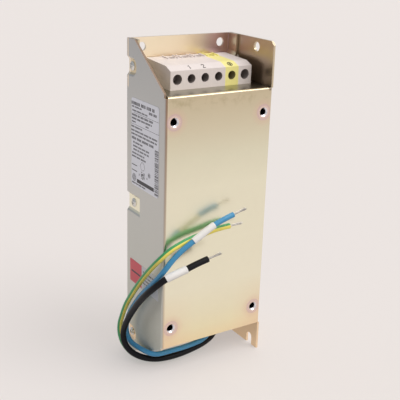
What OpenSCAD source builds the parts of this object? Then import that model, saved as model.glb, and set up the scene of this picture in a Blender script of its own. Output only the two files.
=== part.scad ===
// Footprint EMI line filter for a small motor drive.
// A folded steel cover is screwed over a back plate that carries the filter
// circuit. Mains enters at the terminal block on the top shelf, and three
// short leads leave through the floor. The drive is screwed onto the front.
// Origin: middle of the footprint on the ground. +Z is up, -Y is the front,
// and +Y is the face that lies against the mounting panel.

/* [Housing] */
// Width across the side walls
case_w = 80; // [78:1:96]
// Depth from the front face to the mounting face
case_d = 50; // [50:1:60]
// Height of the back plate and the side walls
case_h = 220; // [218:1:245]
// Thickness of the folded sheet
sheet_t = 1.5; // [1.2:0.1:1.7]
// Outer radius of the folds
bend_r = 2; // [1.8:0.1:3]
// Height of the front face's lower edge
front_low = 20; // [20:0.5:22]
// Depth of the shelf that carries the terminals below the top
shelf_down = 29; // [27:0.5:32]
// Length of the left wall's level edges at the back
wall_flat = 10; // [8:0.5:14]
// Gap between the folds at a corner of the sheet
relief = 1; // [0.6:0.1:1.4]
// Bevel on the right wall's upper front corner
corner_cut = 2.5; // [1:0.5:5]
// Gap between the cover and the back plate's flanges
fit_gap = 0.2; // [0.1:0.05:0.3]

/* [Back plate] */
// Depth of the side flanges
flange_d = 11; // [9.5:0.5:12]
// Distance of the mounting holes from the side walls' outer faces
mount_in = 10; // [9:0.5:14]
// Distance of the upper mounting holes from the top
mount_down = 6; // [5:0.5:8]
// Height of the bottom slots' centre
slot_z = 6; // [5:0.5:6.5]
// Width of the mounting holes and slots
mount_d = 5.8; // [4.5:0.1:6.4]

/* [Side wall openings] */
// Width of the upper hole in the right wall
side_hole_d = 6.2; // [4:0.1:7]
// Distance of that hole from the front
side_hole_in = 18; // [12:0.5:24]
// Distance of that hole from the top
side_hole_down = 5.5; // [5:0.5:8]
// Width of the slot in the right wall's foot
side_slot_w = 6; // [4:0.1:7]
// Distance of the slot from the front
side_slot_in = 9; // [8:0.5:14]
// Height of the slot's round end
side_slot_z = 5.5; // [4:0.5:8]

/* [Screw recesses] */
// How deep the recesses are pressed in
recess_t = 1.7; // [1.5:0.1:1.9]
// Width of their sloping rim
recess_slope = 2.2; // [1.5:0.1:2.4]
// Half height of the round recesses
round_r = 6.3; // [5.8:0.1:6.6]
// Half height of the long recess
long_r = 6.8; // [6:0.1:8]
// Reach of the round recesses from the back edge
round_reach = 12.8; // [12.2:0.1:14]
// Reach of the long recess from the back edge
long_reach = 18; // [14:0.5:22]
// Height of the lower recess
recess_low_z = 12.5; // [11:0.5:13.5]
// Height of the middle recess above the middle of the wall
recess_mid_up = 1; // [-20:1:20]
// Distance of the upper recess from the top
recess_top_down = 17.5; // [16:0.5:19]
// Diameter of the side screws' shanks
screw_d = 3; // [2.5:0.1:3.5]
// Diameter of the side screws' heads
screw_head_d = 6; // [5:0.1:6.6]
// Height of the side screws' heads
screw_head_t = 1.5; // [1.2:0.1:2]
// Length of the side screws below the head
screw_len = 4.2; // [3.6:0.1:4.4]
// Clearance around a screw
screw_gap = 0.2; // [0.1:0.05:0.4]

/* [Drive inserts] */
// Distance of the inserts from the side walls' outer faces
insert_in = 6.5; // [6.5:0.5:15]
// Height of the lower row
insert_z = 35; // [32:1:40]
// Distance of the upper row below the shelf
insert_down = 16; // [12:1:30]
// Minor diameter of the thread
insert_bore = 4.2; // [3:0.1:5]
// Diameter of the ring that shows in the front face
insert_ring_d = 8.4; // [7.6:0.1:8.6]
// Diameter of the body behind the sheet
insert_body_d = 9.4; // [9:0.1:9.6]
// Length of the body behind the sheet
insert_len = 4; // [3:0.5:6]
// Width of the lead-in cone at the front
insert_mouth_d = 6.2; // [5.2:0.1:6.8]

/* [Terminal block] */
// Distance of the block from the left wall's outer face
block_left_in = 12.4; // [8:0.1:14]
// Distance of the block from the right wall's outer face
block_right_in = 6.4; // [6.4:0.1:10]
// Depth of the block
block_d = 31.5; // [31:0.5:32]
// Gap between the block and the back plate
block_back = 1; // [0.5:0.5:2]
// Height of the upright part of its front
block_face_h = 12; // [11.5:0.5:13]
// Height at the top of its bevel
block_top_h = 14.5; // [14:0.1:15.5]
// Height at its back
block_back_h = 16; // [15.6:0.1:18]
// Depth of its bevel
block_bevel = 6; // [3:0.5:7]
// Height of the wire entries above the shelf
entry_z = 6.5; // [6:0.1:6.8]
// Diameter of the wire entries
entry_d = 5.8; // [4:0.1:6]
// Diameter of the round pockets in the two end slices
pocket_d = 6.6; // [5:0.1:7]
// Depth of those pockets
pocket_deep = 8; // [5:0.5:8]
// Distance of the screw wells from the block's back
well_in = 5; // [4.8:0.1:5.5]
// Diameter of the screw wells
well_d = 5.8; // [5:0.1:6.2]
// Height of the raised rim beside the screw wells
rim_h = 0.8; // [0.5:0.1:1.2]

/* [Clamps] */
// Width of a clamp cage
cage_w = 7.6; // [7:0.1:8]
// Length of a clamp cage
cage_len = 8; // [7:0.1:8.4]
// Height of a clamp cage
cage_h = 10; // [9.5:0.1:10.2]
// Wall of a clamp cage
cage_t = 1.2; // [0.8:0.1:1.4]
// Thickness of its threaded top
cage_top = 2.6; // [2:0.1:3]
// Diameter of the clamp screws' shanks
clamp_screw_d = 3.8; // [3:0.1:4.2]
// Diameter of the clamp screws' heads
clamp_head_d = 5.2; // [4.4:0.1:5.4]
// Height of the clamp screws' heads
clamp_head_t = 1.4; // [1:0.1:2]
// Width of a contact bar
bar_w = 4.8; // [4:0.1:5]
// Thickness of a contact bar
bar_t = 1; // [0.6:0.1:1.2]
// How far a contact bar reaches below the shelf
bar_drop = 10; // [8:0.5:12]

/* [Lead bushing] */
// Middle of the bushing along X
bushing_x = 14; // [12:0.5:16]
// Middle of the bushing along Y
bushing_y = -2; // [-4:0.5:0]
// Distance between the leads in the bushing
lead_pitch = 6; // [5.6:0.1:6.4]
// Length of the opening that holds the bushing
bushing_len = 21; // [20:0.5:24]
// Width of that opening
bushing_w = 9; // [8:0.5:10]
// How far the bushing's lips reach over the sheet
lip_over = 1.5; // [1:0.1:2]
// Thickness of each lip
lip_t = 1.5; // [1:0.1:1.8]
// Diameter of the black lead
black_d = 4.2; // [3.4:0.1:4.4]
// Diameter of the blue lead
blue_d = 3.6; // [3:0.1:4]
// Diameter of the earth lead
earth_d = 3.7; // [3:0.1:3.9]
// Wall of the marker sleeves
sleeve_t = 0.5; // [0.3:0.1:0.7]
// Diameter of the bared copper strands
strand_d = 1.6; // [1.2:0.1:2]

/* [Circuit board] */
// Distance of the board from the side walls' outer faces
board_in = 7; // [6:0.5:7.5]
// Height of the board's lower edge
board_z = 34; // [34:0.5:36]
// Distance of the board's upper edge below the shelf
board_down = 21; // [18:0.5:21]
// Thickness of the board
board_t = 1.6; // [1:0.1:2]
// Length of the standoffs
standoff_len = 8; // [6:0.5:9]
// Width of the standoffs across their flats
standoff_af = 6; // [5:0.5:7]
// Distance of the board screws from the board's edges
board_hole_in = 4.5; // [4:0.5:5]
// Diameter of the board screws' shanks
board_screw_d = 3; // [2.5:0.1:3.2]

/* [Chokes] */
// Bore of the cores as a share of their outer diameter
bore_share = 0.58; // [0.54:0.01:0.62]
// Height of the cores
core_h = 20; // [14:1:22]
// Diameter of the winding wire
wire_d = 1.8; // [1.6:0.1:2]
// Turns in one winding
turns = 12; // [9:1:12]
// Clearance between the core and the turns
turn_gap = 0.2; // [0.1:0.05:0.3]
// Gap between the two chokes
choke_gap = 8; // [6:0.5:9]
// Thickness of the divider in the bore
divider_t = 2; // [1.5:0.1:3]

/* [Small parts] */
// Distance of the lower line capacitor from the board's lower edge
xcap_foot = 1; // [0.5:0.5:2]
// Gap between the lower line capacitor and the lower choke
xcap_low_gap = 4; // [3:0.5:5]
// Gap between the upper line capacitor and the upper choke
xcap_high_gap = 2; // [1.5:0.5:3]
// Distance of the upper line capacitor from the board's upper edge
xcap_head = 13; // [12:0.5:14]
// Width of the line capacitors
xcap_w = 26.5; // [18:0.5:30]
// Height of the line capacitors off the board
xcap_len = 22; // [15:0.5:26]
// Thickness of the line capacitors
xcap_t = 12; // [8:0.5:13]
// Diameter of the earth capacitors
ycap_d = 10; // [7:0.5:11]
// Thickness of the earth capacitors
ycap_t = 4.5; // [3:0.5:5]
// Gap between an earth capacitor and the incoming earth wire's run
ycap_gap = 1; // [0.7:0.1:1.5]
// Length of the bleed resistor's body
resistor_len = 11; // [8:0.5:14]
// Diameter of the bleed resistor's body
resistor_d = 4; // [3:0.5:5]
// Length of the earth stud
stud_len = 10; // [8:0.5:12]
// Diameter of the earth stud
stud_d = 4; // [3:0.5:4]

/* [Labels] */
// Width of the rating label
label_w = 36; // [25:1:40]
// Height of the rating label
label_h = 58.5; // [40:0.5:65]
// Distance of the rating label's middle below the shelf
label_down = 37; // [34:1:60]
// Width of the lower label
tag_w = 39.5; // [30:0.5:42]
// Height of the lower label
tag_h = 16.5; // [10:0.5:20]
// Height of the lower label's middle
tag_z = 62; // [50:1:80]
// Thickness of both labels
label_t = 0.2; // [0.1:0.05:0.3]

/* [Hidden] */

$fn = 48;
over = 1;               // how far a cutter runs past the face it opens
seat = 0.3;             // gap where two pieces lie side by side
x_wall = case_w / 2;                    // outer face of a side wall
x_in = x_wall - sheet_t;                // inner face of a side wall
x_flange = x_in - fit_gap;              // outer face of a back plate flange
y_front = -case_d / 2;
y_back = case_d / 2;
y_plate = y_back - sheet_t;             // inner face of the back plate
y_flange = y_back - flange_d;           // front edge of the flanges
shelf_z = case_h - shelf_down;
shelf_end = y_plate - seat;
shelf_under = shelf_z - sheet_t;
floor_top = front_low + sheet_t;
mount_w = case_w - 2 * mount_in;
mount_h = case_h - mount_down - slot_z;
insert_w = case_w - 2 * insert_in;
insert_h = shelf_z - insert_down - insert_z;
// Height, half height, reach from the back edge and whether it is round
RECESSES = [[recess_low_z, round_r, round_reach, true],
            [case_h / 2 + recess_mid_up, long_r, long_reach, false],
            [case_h - recess_top_down, round_r, round_reach, true]];
screw_in_round = 4.5;   // side screw to back edge, round recess
screw_in_long = 7;      // side screw to back edge, long recess
block_y = y_plate - block_back - block_d;
slices = 6;
pitch = (case_w - block_left_in - block_right_in) / slices;
block_left = block_left_in - x_wall;
chamber_z = 1.5;        // floor of a clamp chamber above the shelf
chamber_h = cage_h + 0.4;
well_y = block_y + block_d - well_in;
bar_y = well_y - cage_len / 2 - 4;      // front of a contact bar's drop
block_bite = 7.5;       // how far the block's screws reach into it
y_board = y_plate - standoff_len - board_t;     // component side
board_w = case_w - 2 * board_in;
board_h = shelf_z - board_down - board_z;
board_mid_z = board_z + board_h / 2;
// The two chokes share what the capacitors leave of the board's height
choke_r = (board_h - xcap_foot - xcap_t - xcap_low_gap - choke_gap
           - xcap_high_gap - xcap_t - xcap_head) / 4;   // over the turns
choke_step = 2 * choke_r + choke_gap;
core_d = 2 * (choke_r - turn_gap - wire_d);
core_bore = bore_share * core_d;
xcap_low_z = board_z + xcap_foot + xcap_t / 2;
choke_z = xcap_low_z + xcap_t / 2 + xcap_low_gap + choke_r + choke_step / 2;
xcap_high_z = choke_z + choke_step / 2 + choke_r + xcap_high_gap + xcap_t / 2;
stud_x = x_wall - 20;   // earth stud
stud_z = 27;
lug_t = 1;
nut_t = 3.2;
pad_x = 18;             // solder pads of the feeds and tails
CLAMPED = [1, 2, 3, 4]; // slices that hold a clamp
LEAD_X = [bushing_x - lead_pitch, bushing_x, bushing_x + lead_pitch];
END_SLICES = [0, slices - 1];
bushing_seam = front_low + sheet_t / 2;         // where leads and tails meet

// Routes of the leads outside the housing, from the bushing to the cut end.
// They are drawn around a housing 80 wide and 50 deep, and follow its left
// wall and its front when these move.
function follow(route) = [for (q = route)
    [q[0] + (q[0] < -30 ? 40 - x_wall : 0),
     q[1] + (q[1] < -23 ? 25 + y_front : 0), q[2]]];
BLACK_ROUTE = follow([[20, -2, 20.75], [20, -2, 17], [18, -3.3, 12],
    [12.5, -5.8, 7.9], [4, -9, 6.3], [-7.5, -11.4, 5.6], [-19, -12.6, 5.2],
    [-29, -12.3, 5.2], [-37, -10.2, 5.4], [-43.5, -5.8, 6.1], [-48, 1, 7.5],
    [-50.3, 7.3, 11],
    [-51, 9.8, 16.5], [-51.2, 8.8, 22.5], [-51.2, 3.7, 32], [-51, -4.2, 43],
    [-51, -14.4, 54.8], [-50, -24, 64.8], [-47, -30.5, 72],
    [-42.5, -33.5, 76.5], [-28.5, -35, 81], [-21, -35.5, 83.3],
    [-13.2, -36, 85.3]]);
BLUE_ROUTE = follow([[14, -2, 20.75], [14, -2, 18], [12.8, -4, 14], [9, -7, 11.8],
    [2, -10.5, 10.4], [-6, -12.5, 10.3], [-16, -14.3, 10.8],
    [-26, -15.4, 11.6], [-34, -15.7, 12], [-38, -15.2, 12],
    [-40.8, -12.8, 11.9], [-42.4, -8.5, 11.6], [-43, -2.5, 10.7],
    [-43.6, 4, 9.9], [-44.6, 10, 10.4],
    [-45.3, 14, 13.2], [-45.6, 15.8, 18], [-45.6, 15.2, 24],
    [-45.6, 12, 31.2], [-45.6, 6, 39.8], [-45.6, -4.5, 52.5],
    [-45.4, -15.5, 63.5], [-44.5, -25, 73], [-41.5, -30.5, 81.7],
    [-37, -32, 88], [-31, -33.2, 93.7], [-23.5, -34.4, 99],
    [-8.5, -34.9, 107.5], [-1, -35, 110.2], [6, -35, 112.2]]);
EARTH_ROUTE = follow([[8, -2, 20.75], [8, -2, 16], [7.3, -2.3, 11], [4.5, -3.5, 6],
    [-1, -5.3, 3.2], [-8, -6.7, 2.3], [-16, -7.5, 2.1], [-24, -7.5, 2.1],
    [-31, -6.1, 2.1], [-37.5, -3, 2.2], [-42, 1.8, 2.3],
    [-45, 7.5, 3], [-46.8, 13, 5.2], [-48, 17.6, 9.2], [-48.4, 20, 14.5],
    [-48.5, 19.8, 21], [-48.5, 16, 30], [-48.5, 10.5, 40.3],
    [-48, 1.5, 53.2], [-47, -8.5, 66.2], [-45.5, -19, 78.7],
    [-43, -27, 88], [-37.5, -29.6, 93.6], [-30.5, -30, 96.6],
    [-23.5, -29.9, 98.6], [-13.5, -29.9, 100.5], [-3.5, -30.2, 102.2],
    [6.5, -30.5, 102.8]]);
BLACK_SLEEVE = len(BLACK_ROUTE) - 4;    // route point where a sleeve starts
BLUE_SLEEVE = len(BLUE_ROUTE) - 4;
strand_len = 11;

// ---- Shared shapes ----

// Extrusions along X and along Y of a section drawn in (Y, Z) or (X, Z)
module along_x(len) rotate([90, 0, 90]) linear_extrude(len) children();
module along_y(len)
    translate([0, len, 0]) rotate([90, 0, 0]) linear_extrude(len) children();

module round_rect(w, h, r) {
    square([w - 2 * r, h], center = true);
    square([w, h - 2 * r], center = true);
    for (x = [-1, 1], y = [-1, 1])
        translate([x * (w / 2 - r), y * (h / 2 - r)]) circle(r);
}

// Section of a sheet folded to a U: w across the outside, d deep, open at +Y
module folded_u(w, d) {
    difference() {
        round_corners(w, d, bend_r);
        translate([0, sheet_t])
            round_corners(w - 2 * sheet_t, d, bend_r - sheet_t);
    }
}
module round_corners(w, d, r) {
    translate([-w / 2, r]) square([w, d - r]);
    translate([-w / 2 + r, 0]) square([w - 2 * r, d - over]);
    for (x = [-1, 1]) translate([x * (w / 2 - r), r]) circle(r);
}

module both_sides() {
    children();
    mirror([1, 0, 0]) children();
}

// The space that one pressed recess takes up on the left, moved inwards by
// skin. rear is how far it runs past the back edge.
module recess_space(spec, skin, rear) {
    z = spec[0];
    r = spec[1];
    reach = spec[2];
    lean = recess_slope / recess_t;
    y_mid = y_back - (reach - r);
    out = 1;
    translate([-x_wall + skin, 0, z]) {
        if (spec[3]) {
            translate([0, y_mid, 0]) along_y(y_back + rear - y_mid)
                recess_section(r, lean, out);
            intersection() {
                translate([-out, y_mid, 0]) rotate([0, 90, 0])
                    cylinder(h = out + recess_t, r1 = r + out * lean,
                             r2 = r - recess_slope);
                translate([-out, y_back + rear - 3 * r, -2 * r])
                    cube([out + recess_t, 3 * r, 4 * r]);
            }
        } else {
            intersection() {
                translate([0, y_back - reach - out * lean, 0])
                    along_y(reach + out * lean + rear)
                        recess_section(r, lean, out);
                translate([0, 0, -r - out * lean])
                    linear_extrude(2 * (r + out * lean))
                        polygon([[-out, y_back - reach - out * lean],
                                 [recess_t, y_back - reach + recess_slope],
                                 [recess_t, y_back + rear],
                                 [-out, y_back + rear]]);
            }
        }
    }
}
module recess_section(r, lean, out)
    polygon([[-out, r + out * lean], [recess_t, r - recess_slope],
             [recess_t, recess_slope - r], [-out, -r - out * lean]]);

// Places its children at every side screw of the left wall, +X inwards,
// with X = 0 on the recess floor's outer face
module at_side_screws()
    for (spec = RECESSES)
        translate([-x_wall + recess_t,
                   y_back - (spec[3] ? screw_in_round : screw_in_long),
                   spec[0]])
            rotate([0, 90, 0]) children();

// Places its children at the four corners of a w by h pattern around z_mid
module at_pattern(w, h, z_mid)
    for (x = [-1, 1], z = [-1, 1])
        translate([x * w / 2, 0, z_mid + z * h / 2]) children();

// ---- Back plate ----

module back_plate() color("tan") {
    skin = sheet_t + fit_gap;
    difference() {
        union() {
            linear_extrude(case_h) flange_u();
            intersection() {
                both_sides() for (spec = RECESSES)
                    recess_space(spec, skin + sheet_t, 0);
                translate([-x_flange, y_flange, 0])
                    cube([2 * x_flange, flange_d, case_h]);
            }
        }
        both_sides() for (spec = RECESSES) recess_space(spec, skin, over);
        both_sides() at_side_screws() cylinder(h = 8, d = screw_d);
        for (x = [-1, 1]) {
            translate([x * mount_w / 2, y_back + over, slot_z + mount_h])
                rotate([90, 0, 0]) cylinder(h = sheet_t + 2 * over, d = mount_d);
            translate([x * mount_w / 2, y_back + over, slot_z])
                rotate([90, 0, 0]) cylinder(h = sheet_t + 2 * over, d = mount_d);
            translate([x * mount_w / 2 - mount_d / 2, y_plate - over, -over])
                cube([mount_d, sheet_t + 2 * over, slot_z + over]);
        }
        at_pattern(board_w - 2 * board_hole_in, board_h - 2 * board_hole_in,
                   board_mid_z)
            translate([0, y_back + over, 0]) rotate([90, 0, 0])
                cylinder(h = sheet_t + 2 * over, d = standoff_af - 2);
        translate([stud_x, y_back + over, stud_z]) rotate([90, 0, 0])
            cylinder(h = sheet_t + 2 * over, d = stud_d);
    }
}
// Section of the back plate with its two forward flanges
module flange_u()
    translate([0, y_back]) mirror([0, 1]) folded_u(2 * x_flange, flange_d);

// ---- Front cover ----

// One sheet, in two nodes that meet face to face along the left fold
module front_cover() color("khaki") difference() {
    cover_sheet();
    left_of_fold();
}
module cover_left_wall() color("khaki") intersection() {
    cover_sheet();
    left_of_fold();
}
module left_of_fold() {
    translate([-x_wall - over, y_front - over, -over])
        cube([bend_r + over, case_d + 2 * over, case_h + 2 * over]);
    for (spec = RECESSES)
        translate([-x_wall, y_back - spec[2] - over, spec[0] - spec[1] - seat])
            cube([recess_t + sheet_t + over, spec[2] + 2 * over,
                  2 * (spec[1] + seat)]);
}
module cover_sheet() difference() {
    union() {
        translate([0, y_front, front_low + relief])
            linear_extrude(shelf_z - front_low - 2 * relief)
                folded_u(case_w, case_d);
        shelf_and_floor();
        translate([-x_wall, 0, 0]) along_x(sheet_t) left_outline();
        translate([x_in, 0, 0]) along_x(sheet_t) right_outline();
        both_sides() for (spec = RECESSES) recess_space(spec, sheet_t, 0);
    }
    both_sides() for (spec = RECESSES) recess_space(spec, 0, over);
    both_sides() at_side_screws()
        translate([0, 0, -over])
            cylinder(h = sheet_t + 2 * over, d = screw_d + 2 * screw_gap);
    at_pattern(insert_w, insert_h, insert_z + insert_h / 2)
        translate([0, y_front - over, 0]) rotate([-90, 0, 0])
            cylinder(h = sheet_t + 2 * over, d = insert_ring_d);
    translate([x_in - over, y_front + side_hole_in, case_h - side_hole_down])
        rotate([0, 90, 0])
            cylinder(h = sheet_t + 2 * over, d = side_hole_d);
    translate([x_in - over, y_front + side_slot_in, side_slot_z])
        rotate([0, 90, 0])
            cylinder(h = sheet_t + 2 * over, d = side_slot_w);
    translate([x_in - over, y_front + side_slot_in - side_slot_w / 2, -over])
        cube([sheet_t + 2 * over, side_slot_w, side_slot_z + over]);
    shelf_slot();
    for (i = END_SLICES) at_slice(i)
        translate([pitch / 2, block_screw_y(), -sheet_t - over])
            cylinder(h = sheet_t + 2 * over, d = screw_d + 2 * screw_gap);
    translate([bushing_x, bushing_y, front_low - over])
        linear_extrude(sheet_t + 2 * over)
            round_rect(bushing_len, bushing_w, bushing_w / 2 - 0.01);
}
// The front folded back into the shelf above and the floor below
module shelf_and_floor() {
    half = x_wall - bend_r;
    difference() {
        translate([-half, y_front, (shelf_z + front_low) / 2])
            along_x(2 * half) rotate(-90)
                folded_u(shelf_z - front_low, shelf_end - y_front);
        both_sides()
            translate([-half - over, y_flange - seat, front_low - over])
                cube([half + over - (x_flange - sheet_t - seat), flange_d + over,
                      shelf_z - front_low + 2 * over]);
    }
}
// Opening in the shelf that the contact bars drop through
module shelf_slot() {
    slot_w = (len(CLAMPED) - 1) * pitch + bar_w + 2 * over;
    translate([block_left + slices * pitch / 2 - slot_w / 2,
               bar_y - over, shelf_under - over])
        cube([slot_w, bar_t + 2 * over, sheet_t + 2 * over]);
}
function slant_low(y) = front_low * (1 - (y - y_front) / (case_d - wall_flat));
function slant_high(y) =
    shelf_z + (case_h - shelf_z) * (y - y_front) / (case_d - wall_flat);
module left_outline() {
    y_tip = y_front + bend_r;
    y_step = y_back - wall_flat;
    polygon([[y_back, 0], [y_step, 0], [y_tip, slant_low(y_tip)],
             [y_tip, slant_high(y_tip)], [y_step, case_h], [y_back, case_h]]);
}
module right_outline() {
    y_tip = y_front + bend_r;
    low = front_low + relief / 2;
    high = shelf_z - relief / 2;
    polygon([[y_back, 0], [y_front, 0], [y_front, low], [y_tip, low],
             [y_tip, high], [y_front, high], [y_front, case_h - corner_cut],
             [y_front + corner_cut, case_h], [y_back, case_h]]);
}

// Pressed-in threaded inserts that the drive is screwed to
module drive_inserts() color("silver")
    at_pattern(insert_w, insert_h, insert_z + insert_h / 2)
        translate([0, y_front, 0]) rotate([-90, 0, 0])
            difference() {
                union() {
                    cylinder(h = sheet_t, d = insert_ring_d);
                    translate([0, 0, sheet_t])
                        cylinder(h = insert_len, d = insert_body_d);
                }
                translate([0, 0, -over])
                    cylinder(h = sheet_t + insert_len + 2 * over,
                             d = insert_bore);
                translate([0, 0, -0.01])
                    cylinder(h = (insert_mouth_d - insert_bore) / 2,
                             d1 = insert_mouth_d, d2 = insert_bore);
            }

// Screw with a low round head; the head's seat is Z = 0, the shank runs to +Z
module pan_screw(d, len, head_d, head_t) {
    cross_w = head_d / 6;
    difference() {
        union() {
            cylinder(h = len, d = d);
            rotate([180, 0, 0]) rotate_extrude() intersection() {
                translate([0, head_t - head_dome(head_d)])
                    circle(head_dome(head_d));
                square([head_d / 2, head_t]);
            }
        }
        for (a = [0, 90]) rotate(a)
            translate([-head_d / 3, -cross_w / 2, -head_t - over])
                cube([head_d / 1.5, cross_w, over + head_t * 0.6]);
    }
}
function head_dome(head_d) = head_d * 0.75;

module side_screws() color("gainsboro") both_sides() at_side_screws()
    pan_screw(screw_d, screw_len, screw_head_d, screw_head_t);

// ---- Terminal block ----

module at_slice(i)
    translate([block_left + i * pitch, block_y, shelf_z]) children();
function block_screw_y() = (bar_y - block_y);

module slice_body() along_x(pitch)
    polygon([[0, 0], [0, block_face_h], [block_bevel, block_top_h],
             [block_d, block_back_h], [block_d, 0]]);

// A slice with a clamp chamber, a wire entry and a screw well
module clamp_slice(i) at_slice(i) {
    mid = pitch / 2;
    well = well_y - block_y;
    difference() {
        union() {
            slice_body();
            for (side = [-1, 1])
                translate([mid + side * (well_d / 2 + 0.9) - 0.4,
                           well - cage_len / 2, 0])
                    along_x(0.8)
                        polygon([[0, block_top_h - 1], [0, rim_top(0)],
                                 [cage_len, rim_top(cage_len)],
                                 [cage_len, block_top_h - 1]]);
        }
        translate([mid, -over, entry_z]) rotate([-90, 0, 0])
            cylinder(h = well, d = entry_d);
        translate([mid - cage_w / 2 - 0.2, well - cage_len / 2 - 0.2, chamber_z])
            cube([cage_w + 0.4, cage_len + 0.4, chamber_h]);
        translate([mid, well, chamber_z])
            cylinder(h = block_back_h + 2 * over, d = well_d);
        translate([mid - bar_w / 2 - 0.2, bar_y - block_y - 0.2, -over])
            cube([bar_w + 0.4, well - bar_y + block_y, over + bar_top() + 0.2]);
    }
}
function rim_top(y) = rim_h + block_top_h + (block_back_h - block_top_h)
    * (well_y - block_y - cage_len / 2 + y - block_bevel)
    / (block_d - block_bevel);
function bar_top() = chamber_z + cage_t + bar_t;

// An end slice, screwed to the shelf from below
module end_slice(i) at_slice(i) difference() {
    slice_body();
    translate([pitch / 2, -over, entry_z]) rotate([-90, 0, 0])
        cylinder(h = pocket_deep + over, d = pocket_d);
    translate([pitch / 2, block_screw_y(), -over])
        cylinder(h = block_bite + over, d = screw_d);
}
module terminal_end_left() color("mistyrose") end_slice(0);
module terminal_line() color("mistyrose") clamp_slice(1);
module terminal_neutral() color("mistyrose") clamp_slice(2);
module terminal_spare() color("mistyrose") clamp_slice(3);
module terminal_earth() color("khaki") clamp_slice(4);
module terminal_end_right() color("mistyrose") end_slice(slices - 1);

module at_clamps()
    for (i = CLAMPED) at_slice(i)
        translate([pitch / 2, well_y - block_y, chamber_z]) children();

// Cages that draw the wire up against the contact bar
module clamp_cages() color("silver") at_clamps() difference() {
    translate([-cage_w / 2, -cage_len / 2, 0]) cube([cage_w, cage_len, cage_h]);
    translate([-cage_w / 2 + cage_t, -cage_len / 2 - over, cage_t])
        cube([cage_w - 2 * cage_t, cage_len + 2 * over,
              cage_h - cage_t - cage_top]);
    cylinder(h = cage_h + over, d = clamp_screw_d);
}

module clamp_screws() color("silver") at_clamps()
    translate([0, 0, cage_h]) rotate([180, 0, 0])
        difference() {
            union() {
                cylinder(h = cage_top + 2, d = clamp_screw_d);
                translate([0, 0, -clamp_head_t])
                    cylinder(h = clamp_head_t, d = clamp_head_d);
            }
            translate([-clamp_head_d / 2, -0.4, -clamp_head_t - over])
                cube([clamp_head_d, 0.8, over + clamp_head_t / 2]);
        }

// Bars that lie in the cages and drop through the shelf
module contact_bars() color("peru") for (i = CLAMPED)
    translate([block_left + (i + 0.5) * pitch - bar_w / 2, 0, shelf_z])
        along_x(bar_w) polygon([
            [bar_y, -bar_drop], [bar_y + bar_t, -bar_drop],
            [bar_y + bar_t, bar_top() - bar_t],
            [well_y + cage_len / 2 - 0.5, bar_top() - bar_t],
            [well_y + cage_len / 2 - 0.5, bar_top()], [bar_y, bar_top()]]);

module block_screws() color("silver") for (i = END_SLICES)
    translate([block_left + (i + 0.5) * pitch, bar_y, shelf_under])
        pan_screw(screw_d, sheet_t + block_bite, screw_head_d, screw_head_t);

// ---- Lead bushing ----

module lead_bushing() color("dimgray") difference() {
    translate([bushing_x, bushing_y, front_low]) {
        linear_extrude(sheet_t)
            round_rect(bushing_len, bushing_w, bushing_w / 2 - 0.01);
        for (z = [-lip_t, sheet_t]) translate([0, 0, z]) linear_extrude(lip_t)
            round_rect(bushing_len + 2 * lip_over, bushing_w + 2 * lip_over,
                       bushing_w / 2 + lip_over - 0.01);
    }
    for (i = [0:2])
        translate([LEAD_X[i], bushing_y, front_low - lip_t - over])
            cylinder(h = sheet_t + 2 * lip_t + 2 * over,
                     d = [earth_d, blue_d, black_d][i] + 0.1);
}

// ---- Filter circuit ----

module at_board_holes()
    at_pattern(board_w - 2 * board_hole_in, board_h - 2 * board_hole_in,
               board_mid_z) children();

module circuit_board() color("darkgreen") difference() {
    translate([-board_w / 2, y_board, board_z])
        cube([board_w, board_t, board_h]);
    at_board_holes() translate([0, y_board - over, 0]) rotate([-90, 0, 0])
        cylinder(h = board_t + 2 * over, d = board_screw_d + 2 * screw_gap);
}

// Hexagonal standoffs with a neck pressed into the back plate
module board_standoffs() color("silver") at_board_holes()
    translate([0, y_board + board_t, 0]) rotate([-90, 0, 0]) difference() {
        union() {
            cylinder(h = standoff_len, d = standoff_af / cos(30), $fn = 6);
            cylinder(h = standoff_len + sheet_t, d = standoff_af - 2);
        }
        translate([0, 0, -over])
            cylinder(h = standoff_len + over - 1, d = board_screw_d);
    }

module board_screws() color("silver") at_board_holes()
    translate([0, y_board, 0]) rotate([-90, 0, 0])
        pan_screw(board_screw_d, board_t + 5, screw_head_d - 0.5, screw_head_t);

module at_chokes()
    for (i = [0, 1])
        translate([0, y_board - wire_d - turn_gap, choke_z + (i - 0.5) * choke_step])
            rotate([90, 0, 0]) children();

// Ring cores; local Z = 0 is the side towards the board
module choke_cores() color("dimgray") at_chokes() difference() {
    cylinder(h = core_h, d = core_d);
    translate([0, 0, -over]) cylinder(h = core_h + 2 * over, d = core_bore);
}

// Upright divider that keeps the two windings of a choke apart
module choke_dividers() color("ivory") at_chokes()
    translate([-divider_t / 2, -divider_half(), -wire_d - turn_gap])
        cube([divider_t, 2 * divider_half(), core_h + 2 * (wire_d + turn_gap)]);
function divider_half() =
    sqrt(pow(core_bore / 2, 2) - pow(divider_t / 2, 2)) - 0.1;

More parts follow.
